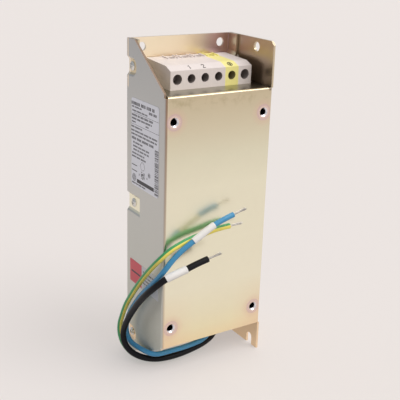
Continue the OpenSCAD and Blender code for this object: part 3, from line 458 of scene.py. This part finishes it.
def front_film_and_shade(tree, x, z):
    """Pale gold and warmer towards the lower corners, with painted shade of the sheet's reflection: darker and
    browner towards the top, under the shelf.
    """
    film = ramp(tree, z, front_low, shelf_high, [
        (0.0, (0.945, 0.79, 0.49)), (0.06, (0.93, 0.85, 0.58)), (0.12, (0.92, 0.86, 0.63)),
        (0.24, (0.93, 0.89, 0.70)), (0.64, (0.90, 0.87, 0.68)), (0.76, (0.815, 0.787, 0.603)),
        (0.87, (0.73, 0.666, 0.487)), (1.0, (0.63, 0.54, 0.37))])
    corner = product(tree, slide(tree, maths(tree, "ABSOLUTE", x), 15 * MM, 40 * MM),
                     slide(tree, z, 60 * MM, 22 * MM))
    return mixed(tree, product(tree, corner, 0.6), film, (0.93, 0.66, 0.46))


def left_wall_painted_reflection(tree, z):
    """Grey on the outside of the left wall, darker at the top: a painted reflection of grey surroundings on
    the same gold sheet.
    """
    return ramp(tree, z, 0, housing_high, [
        (0.0, (0.60, 0.61, 0.54)), (0.3, (0.61, 0.62, 0.575)), (0.6, (0.62, 0.625, 0.60)),
        (1.0, (0.53, 0.535, 0.53))])


def bay_shade_and_stain(tree, film, x, y, z):
    """Painted shade and reflection in the wiring bay: dark brown on the right wall's inside, darker towards
    the bottom, dark greenish grey on the shelf, and the back plate darker at its right end; a purple stain at
    the right hole.
    """
    bay = zone(tree, z, 189, 222, 1)
    # Painted shade: the right wall's inside dark brown, darker towards the bottom
    right = product(tree, zone(tree, x, 37, 38.8, 0.3), bay)
    film = mixed(tree, product(tree, right, 0.95), film, ramp(tree, z, shelf_high, 214, [
        (0.0, (0.20, 0.155, 0.115)), (1.0, (0.44, 0.35, 0.26))]))
    # Painted reflection of the block: the shelf dark greenish grey
    shelf = product(tree, zone(tree, z, 190.6, 191.4, 0.1), zone(tree, y, -23.5, 24.5, 0.5),
                    zone(tree, x, -38.3, 38.3, 0.1))
    film = mixed(tree, product(tree, shelf, 0.9), film, (0.37, 0.36, 0.29))
    # The back plate gold, with painted shade darkening its right end beside the wall
    plate = product(tree, zone(tree, y, 23, 24.2, 0.2), bay)
    film = mixed(tree, plate, film, ramp(tree, x, -half_wide, half_wide, [
        (0.0, (0.96, 0.82, 0.65)), (0.2, (0.99, 0.86, 0.63)), (0.6, (0.99, 0.83, 0.61)),
        (0.72, (0.99, 0.85, 0.70)), (0.84, (0.95, 0.68, 0.66)), (0.94, (0.42, 0.26, 0.26)),
        (1.0, (0.30, 0.19, 0.18))]))
    stain = product(tree, zone(tree, x, 17, 30, 5), zone(tree, z, 205, 222, 4), plate)
    return mixed(tree, product(tree, stain, 0.22), film, (0.30, 0.22, 0.36))


def yellow_zinc():
    finish, tree, shader, place = new_finish("yellow_passivated_zinc", Metallic=1.0)
    x, y, z = axes(tree, place)
    outer_left = zone(tree, x, -41, -39.2, 0.3)
    # The left wall's outside takes a painted grey reflection
    film = mixed(tree, outer_left, front_film_and_shade(tree, x, z), left_wall_painted_reflection(tree, z))
    # A painted reflection: reddish brown along the left fold, strongest at the top
    fold_painted_reflection = product(tree, zone(tree, x, -39.6, -38.4, 0.4), zone(tree, y, -26, -23.6, 0.4),
                   slide(tree, z, 30 * MM, 185 * MM, 0.25, 0.9))
    film = mixed(tree, fold_painted_reflection, film, (0.30, 0.19, 0.13))
    # Painted shade and reflections in the wiring bay
    film = bay_shade_and_stain(tree, film, x, y, z)
    # A warm haze and a violet ring round each insert
    on_front = zone(tree, y, -25.5, -24.8, 0.1)
    away = from_insert(tree, x, z)
    haze = product(tree, slide(tree, away, 10 * MM, 5 * MM), on_front, 0.35)
    film = mixed(tree, haze, film, (0.80, 0.52, 0.42))
    ring = product(tree, zone(tree, away, 4.0, 5.4, 0.6), on_front, 0.4)
    film = mixed(tree, ring, film, (0.62, 0.42, 0.55))
    # Blots under the shelf's fold, and a faint pink drift over the whole sheet
    blot = slide(tree, noise(tree, place, 120.0, 5.0, Roughness=0.65), 0.5, 0.68)
    film = mixed(tree, product(tree, zone(tree, z, 183, 190, 4), on_front, blot, 0.6), film,
                 (0.42, 0.36, 0.20))
    drift = slide(tree, noise(tree, place, 14.0, 3.0, Roughness=0.55), 0.35, 0.75)
    film = mixed(tree, product(tree, drift, 0.07), film, (0.85, 0.66, 0.62))
    # A painted highlight along the sharp edges, and bare sheared metal there, but the left wall's slanted cut
    # is dark
    film = mixed(tree, product(tree, sharp_edge(tree, 0.35), 0.55), film, (0.95, 0.88, 0.78))
    facing = axes(tree, add(tree, "ShaderNodeNewGeometry").outputs["True Normal"])[0]
    cut = product(tree, between(tree, facing, -0.5, 0.5, 0.1), zone(tree, x, -40.2, -38.4, 0.1),
                  zone(tree, z, 190, 230, 1))
    film = mixed(tree, product(tree, cut, 0.85), film, (0.27, 0.18, 0.13))
    rough = maths(tree, "MULTIPLY_ADD", outer_left, 0.20, 0.29)
    cover_with(tree, shader, place, film, 0.03, rough, 0.03, 260.0, 35.0, 0.00001, 0.04)
    return finish


def dress(names, finish):
    """Gives CAD nodes their finish."""
    for name in names.split():
        if not cad[name].material_slots:
            cad[name].data.materials.append(finish)
        for slot in cad[name].material_slots:
            slot.link = "OBJECT"
            slot.material = finish


dress("front_cover cover_left_wall back_plate", yellow_zinc())


# ---- Drive inserts ----
# Four turned steel inserts with M5 threads, pressed into the front. Their
# countersunk mouths stay chrome bright, and the flat ring round each mouth
# takes the sheet's own film.
def insert_plating():
    finish, tree, shader, place = new_finish("insert_plating", Metallic=1.0)
    x, y, z = axes(tree, place)
    away = from_insert(tree, x, z)
    mouth = zone(tree, away, -1000, 3.1, 0.1)
    film = mixed(tree, mouth, (0.86, 0.68, 0.56), (0.80, 0.78, 0.82))
    film = mixed(tree, product(tree, zone(tree, away, 3.6, 6.0, 0.3), 0.35), film, (0.62, 0.42, 0.52))
    # Painted shade down the threaded bore
    bore_shade = zone(tree, away, -1000, 2.2, 0.1)
    film = mixed(tree, product(tree, bore_shade, 0.8), film, (0.10, 0.09, 0.10))
    cover_with(tree, shader, place, film, 0.10, 0.20, 0.1, 1500.0, 250.0, 0.00001, 0.2)
    return finish


dress("drive_inserts", insert_plating())


# ---- Screws, cages and other zinc plated steel ----
# Headed, punched or turned steel, zinc plated and passivated clear, so it
# stays bright. The side screws hold the cover to the back plate's flanges.
def bright_metal(name, colour, roughness):
    finish, tree, shader, place = new_finish(name, Metallic=1.0)
    # Lighter along the sharp edges: wear and a painted highlight
    worn_and_highlit_edges = mixed(tree, product(tree, sharp_edge(tree, 0.2), 0.5), colour, (0.95, 0.94, 0.92))
    cover_with(tree, shader, place, worn_and_highlit_edges, 0.12, roughness, 0.1, 1500.0, 250.0, 0.00001, 0.2)
    return finish


dress("side_screws clamp_screws clamp_cages block_screws board_standoffs board_screws earth_stud earth_nut",
      bright_metal("screw_steel", (0.74, 0.73, 0.70), 0.28))


# ---- Terminal block ----
# Six slices of moulded polyamide side by side: four with a clamp, of which
# the earth slice is yellow, and an end slice on either side.
slice_wide, block_left, entry_radius = 10.2, -27.6, 3.5


def polyamide(name, colour):
    finish, tree, shader, place = new_finish(name)
    x, y, z = axes(tree, place)
    # A painted highlight, lighter along the sharp edges
    painted_highlight_colour = tuple(min(1, 1.12 * c) for c in colour)
    film = mixed(tree, product(tree, sharp_edge(tree, 0.5), 0.6), colour, painted_highlight_colour)
    # Little light reaches the walls of the wire entries
    along = maths(tree, "FLOORED_MODULO", maths(tree, "ADD", x, -block_left * MM), slice_wide * MM)
    from_middle = maths(tree, "SUBTRACT", along, slice_wide / 2 * MM)
    entry = product(tree, zone(tree, z, 194.1, 200.9, 0.2), zone(tree, y, -8.6, 6.5, 0.4),
                    zone(tree, from_middle, -entry_radius, entry_radius, 0.1))
    film = mixed(tree, product(tree, entry, 0.75), film, (0.12, 0.095, 0.085))
    cover_with(tree, shader, place, film, 0.06, 0.45, 0.08, 1800.0, 120.0, 0.00002, 0.3)
    return finish


dress("terminal_end_left terminal_line terminal_neutral terminal_spare terminal_end_right",
      polyamide("beige_polyamide", (0.82, 0.75, 0.735)))
dress("terminal_earth", polyamide("yellow_polyamide", (0.95, 0.88, 0.33)))


# ---- Marks on the terminal block ----
# Plain numbers above the line and neutral clamps, and a ring with bars above
# the earth clamp, pad printed in dark ink on the block's bevel.
def printing_ink(name, colour):
    finish, tree, shader, place = new_finish(name)
    cover_with(tree, shader, place, colour, 0.2, 0.5, 0.1, 1500.0, 200.0, 0.00001, 0.2)
    return finish


def round_line(across_at, up_at, radius, parts):
    """Points round a ring, the first and the last in one place."""
    return [(across_at + radius * math.cos(2 * math.pi * k / parts),
             up_at + radius * math.sin(2 * math.pi * k / parts)) for k in range(parts + 1)]


bevel_middle, bevel_up, stretch = (-6, 204.25), Vector((0, 6, 2.5)).normalized(), 1.2
MARKS = {
    -12.3: [[(-0.55, 0.8), (0.1, 1.5), (0.1, -1.5)]],
    -2.1: [[(-0.9, 0.8), (-0.55, 1.35), (0.2, 1.5), (0.8, 1.1), (0.8, 0.4), (-0.9, -1.5), (0.95, -1.5)]],
    18.3: [[(u, v) for v, u in round_line(0, 0, 1.6, 24)], [(0, 1.1), (0, 0)], [(-0.85, 0), (0.85, 0)],
           [(-0.5, -0.45), (0.5, -0.45)], [(-0.2, -0.9), (0.2, -0.9)]],
}
strokes = [[MM * (Vector((middle + u, *bevel_middle)) + stretch * v * bevel_up) for u, v in stroke]
           for middle, mark in MARKS.items() for stroke in mark]
block_marks = swept_cable("block_marks", strokes, 0.52, 6, printing_ink("dark_ink", (0.025, 0.022, 0.022)))
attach(block_marks, "root")


# ---- Lead bushing ----
# A bushing of black rubber, pressed into the floor of the housing, that the
# three leads come down through.
dress("lead_bushing", soft_plastic("bushing_rubber", (0.02, 0.02, 0.02), 0.2, 0.6))


# ---- Circuit board ----
# Glass fibre laminate with a green solder mask. Four hexagonal standoffs
# carry it in front of the back plate.
dress("circuit_board", soft_plastic("board_laminate", (0.02, 0.15, 0.06), 0.3, 0.35))


# ---- Ring chokes ----
# Two coated ferrite rings on the board, each wound with two coils of
# enamelled copper wire that a moulded divider keeps apart.
dress("choke_cores", soft_plastic("core_coating", (0.03, 0.035, 0.05), 0.2, 0.35))
dress("choke_windings", bright_metal("enamelled_wire", (0.72, 0.30, 0.12), 0.25))
dress("choke_dividers", white_sleeve)


# ---- Capacitors and bleed resistor ----
# Two boxed film capacitors across the line, two lacquered ceramic discs to
# earth, and a ceramic resistor, all soldered to the board.
dress("line_capacitors", soft_plastic("capacitor_case", (0.70, 0.48, 0.05), 0.08, 0.45))
dress("earth_capacitors", soft_plastic("disc_coating", (0.05, 0.22, 0.55), 0.1, 0.3))
dress("bleed_resistor", soft_plastic("resistor_body", (0.62, 0.45, 0.25), 0.1, 0.6))


# ---- Bars, lugs and inner wires ----
# Tinned copper bars go down from the clamps through the shelf, and insulated
# wires join them, the board, the earth stud's ring lugs and the leads.
dress("contact_bars earth_lugs", tinned)
dress("line_feed black_tail", black_pvc)
dress("neutral_feed blue_tail", blue_pvc)
dress("earth_feed earth_tail", soft_plastic("green_pvc", (0.1, 0.36, 0.12)))


# ---- Labels ----
# Two printed films stuck on the left wall: a large one of metallised plastic
# with grey print, and a small one with a red field and a white one.
label_face, label_field = -0.0402, 3.5


def metallised_film():
    finish, tree, shader, place = new_finish("metallised_label_film", Metallic=0.5)
    cover_with(tree, shader, place, (0.76, 0.78, 0.85), 0.05, 0.38, 0.08, 1200.0, 80.0, 0.00001, 0.2)
    return finish


def two_field_film():
    finish, tree, shader, place = new_finish("red_and_white_film")
    field = slide(tree, axes(tree, place)[1], (label_field - 0.05) * MM, (label_field + 0.05) * MM)
    paint = mixed(tree, field, (0.74, 0.74, 0.77), (0.80, 0.10, 0.13))
    cover_with(tree, shader, place, paint, 0.05, 0.4, 0.08, 1200.0, 80.0, 0.00001, 0.2)
    return finish


dress("rating_label", metallised_film())
dress("lower_label", two_field_film())


def slabs(name, reaches, finish, depth=0.03):
    """Closed thin slabs of ink on a label, each reaching from y0 to y1 and z0 to z1 in millimetres."""
    verts, faces = [], []
    for y0, y1, z0, z1 in reaches:
        first = len(verts)
        verts += [(x, y * MM, z * MM) for x in (label_face, label_face - depth * MM)
                  for y, z in ((y0, z0), (y1, z0), (y1, z1), (y0, z1))]
        faces += [tuple(first + i for i in side) for side in (
            (0, 1, 2, 3), (7, 6, 5, 4), (0, 4, 5, 1), (1, 5, 6, 2), (2, 6, 7, 3), (3, 7, 4, 0))]
    mesh = bpy.data.meshes.new(name)
    mesh.from_pydata(verts, [], faces)
    mesh.materials.append(finish)
    piece = bpy.data.objects.new(name, mesh)
    scene.collection.objects.link(piece)
    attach(piece, "root")


def dashes(chance, low, high, z, tall):
    """A row of short blocks in groups, from the label's left, where y is higher."""
    row, y = [], high
    while y > low + tall:
        for _ in range(chance.randint(3, 8)):
            wide = tall * chance.uniform(0.35, 0.65)
            if y - wide < low:
                break
            row.append((y - wide, y, z - tall / 2, z + tall / 2))
            y -= wide + 0.25 * tall
        y -= 0.55 * tall
    return row


grey_ink = printing_ink("grey_ink", (0.07, 0.068, 0.075))
chance = Random(5)
# Rows of dashes: their ends along y, their middle along z and their height
rating = []
for low, high, z, tall in (
        (-13.2, 18.2, 179.9, 2.1), (-16.4, -5, 177.1, 1.6), (3.2, 17.8, 177.6, 1.0), (-3.6, 17.1, 175.1, 1.0),
        (-10.7, 17.8, 172.2, 1.4), (-9, 17.8, 169.9, 1.2), (12.5, 17.8, 167.7, 1.0), (-5, -0.7, 167.7, 1.0),
        (4, 18.5, 164.4, 1.1), (-15.7, 18.5, 161.9, 1.1), (-16.4, 18.5, 159.6, 1.1), (-11.4, 17.8, 156.9, 1.6),
        (3.2, 16, 154.1, 1.1), (-5.4, 16, 151.7, 1.1), (-5, 15.7, 149.4, 1.1), (0.4, 17.5, 146.9, 1.1),
        (-1.8, 17.5, 144.7, 1.1), (-2, 17.5, 126.5, 1.0)):
    rating += dashes(chance, low, high, z, tall)
# Ruled lines and bars
rating += [(-17.5, 15.7, 173.65, 173.85), (-17.5, 18.5, 165.95, 166.15), (-12, 10.7, 127.7, 130.2),
           (10.7, 17.8, 138.6, 139.2), (10.7, 17.8, 134.8, 135.4)]
# A ladder of random bars up the label's right edge
rung = 126.0
while rung < 155.8:
    thick = chance.choice((0.2, 0.2, 0.4, 0.6))
    rating.append((-17.5, -12.9, rung, rung + thick))
    rung += thick + chance.choice((0.25, 0.25, 0.45, 0.65))
# A mottled square of random cells
rating += [(0.4 + 0.46 * i, 0.84 + 0.46 * i, 131.7 + 0.5 * k, 132.17 + 0.5 * k)
           for i in range(10) for k in range(10) if chance.random() < 0.5]
slabs("rating_print", rating, grey_ink)

lower = []
for low, z, tall in ((-17.5, 67.0, 1.2), (-17.5, 64.0, 1.0), (-17.5, 61.4, 1.0), (-12, 58.8, 1.0)):
    lower += dashes(chance, low, 1.5, z, tall)
slabs("lower_print", lower + [(5.5, 18.3, 61.4, 62.6)], grey_ink)

# Rings and dots: their middle along y and z, and the radii of their lines
rings = [[Vector((-0.04008, y * MM, z * MM)) for y, z in round_line(*middle, radius, 28)]
         for middle, radii in (((3.2, 140.3), (2.7,)), ((14.6, 130.3), (2.5, 1.9, 1.3, 0.7)),
                               ((-5.7, 136.7), (1.4, 0.9, 0.4)), ((-2.9, 133.9), (0.5,)),
                               ((7.5, 133.9), (0.5,)))
         for radius in radii]
round_print = swept_cable("round_print", rings, 0.4, 6, grey_ink)
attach(round_print, "root")


# ---- Floor and light ----
# A pale matt floor that keeps the shadow and glows a little for the camera
# and for gloss, a soft lamp from the upper left and a pale room around.
def pale_floor():
    finish, tree, shader, place = new_finish("pale_floor", Roughness=0.9, Base_Color=(0.39, 0.366, 0.357, 1))
    path = add(tree, "ShaderNodeLightPath")
    seen = maths(tree, "MAXIMUM", path.outputs["Is Camera Ray"], path.outputs["Is Glossy Ray"])
    glow = add(tree, "ShaderNodeEmission",
               {"Color": (0.98, 0.93, 0.91, 1), "Strength": product(tree, seen, 0.42)})
    both = add(tree, "ShaderNodeAddShader", {0: shader.outputs[0], 1: glow.outputs[0]})
    tree.links.new(both.outputs[0], tree.nodes["Material Output"].inputs["Surface"])
    return finish


floor_reach = 9
ground = bpy.data.meshes.new("floor")
ground.from_pydata([(x * floor_reach, y * floor_reach, 0) for x, y in ((-1, -1), (1, -1), (1, 1), (-1, 1))],
                   [], [(0, 1, 2, 3)])
ground.materials.append(pale_floor())
floor = bpy.data.objects.new("floor", ground)
scene.collection.objects.link(floor)

room = bpy.data.worlds.new("studio")
scene.world = room
room.use_nodes = True
air = room.node_tree
brighter_side = Vector((0.62, -0.66, 0.42)).normalized()
towards = add(air, "ShaderNodeVectorMath",
              {0: add(air, "ShaderNodeTexCoord").outputs["Generated"], 1: brighter_side},
              operation="DOT_PRODUCT")
bright = add(air, "ShaderNodeMapRange",
             {"Value": towards.outputs["Value"], "From Min": -0.8, "From Max": 0.9},
             interpolation_type="SMOOTHSTEP")
tone = mixed(air, bright.outputs[0], (0.50, 0.52, 0.56), (1.05, 1.00, 0.95))
back = air.nodes["Background"]
air.links.new(tone, back.inputs["Color"])
back.inputs["Strength"].default_value = 0.864

key = bpy.data.lights.new("key", "SUN")
key.energy = 1.19
key.angle = math.radians(40)
key.color = (1.0, 0.98, 0.95)
lamp = bpy.data.objects.new("key", key)
lamp.rotation_euler = Vector((-0.45, 0.55, -0.95)).to_track_quat("-Z", "Y").to_euler()
scene.collection.objects.link(lamp)
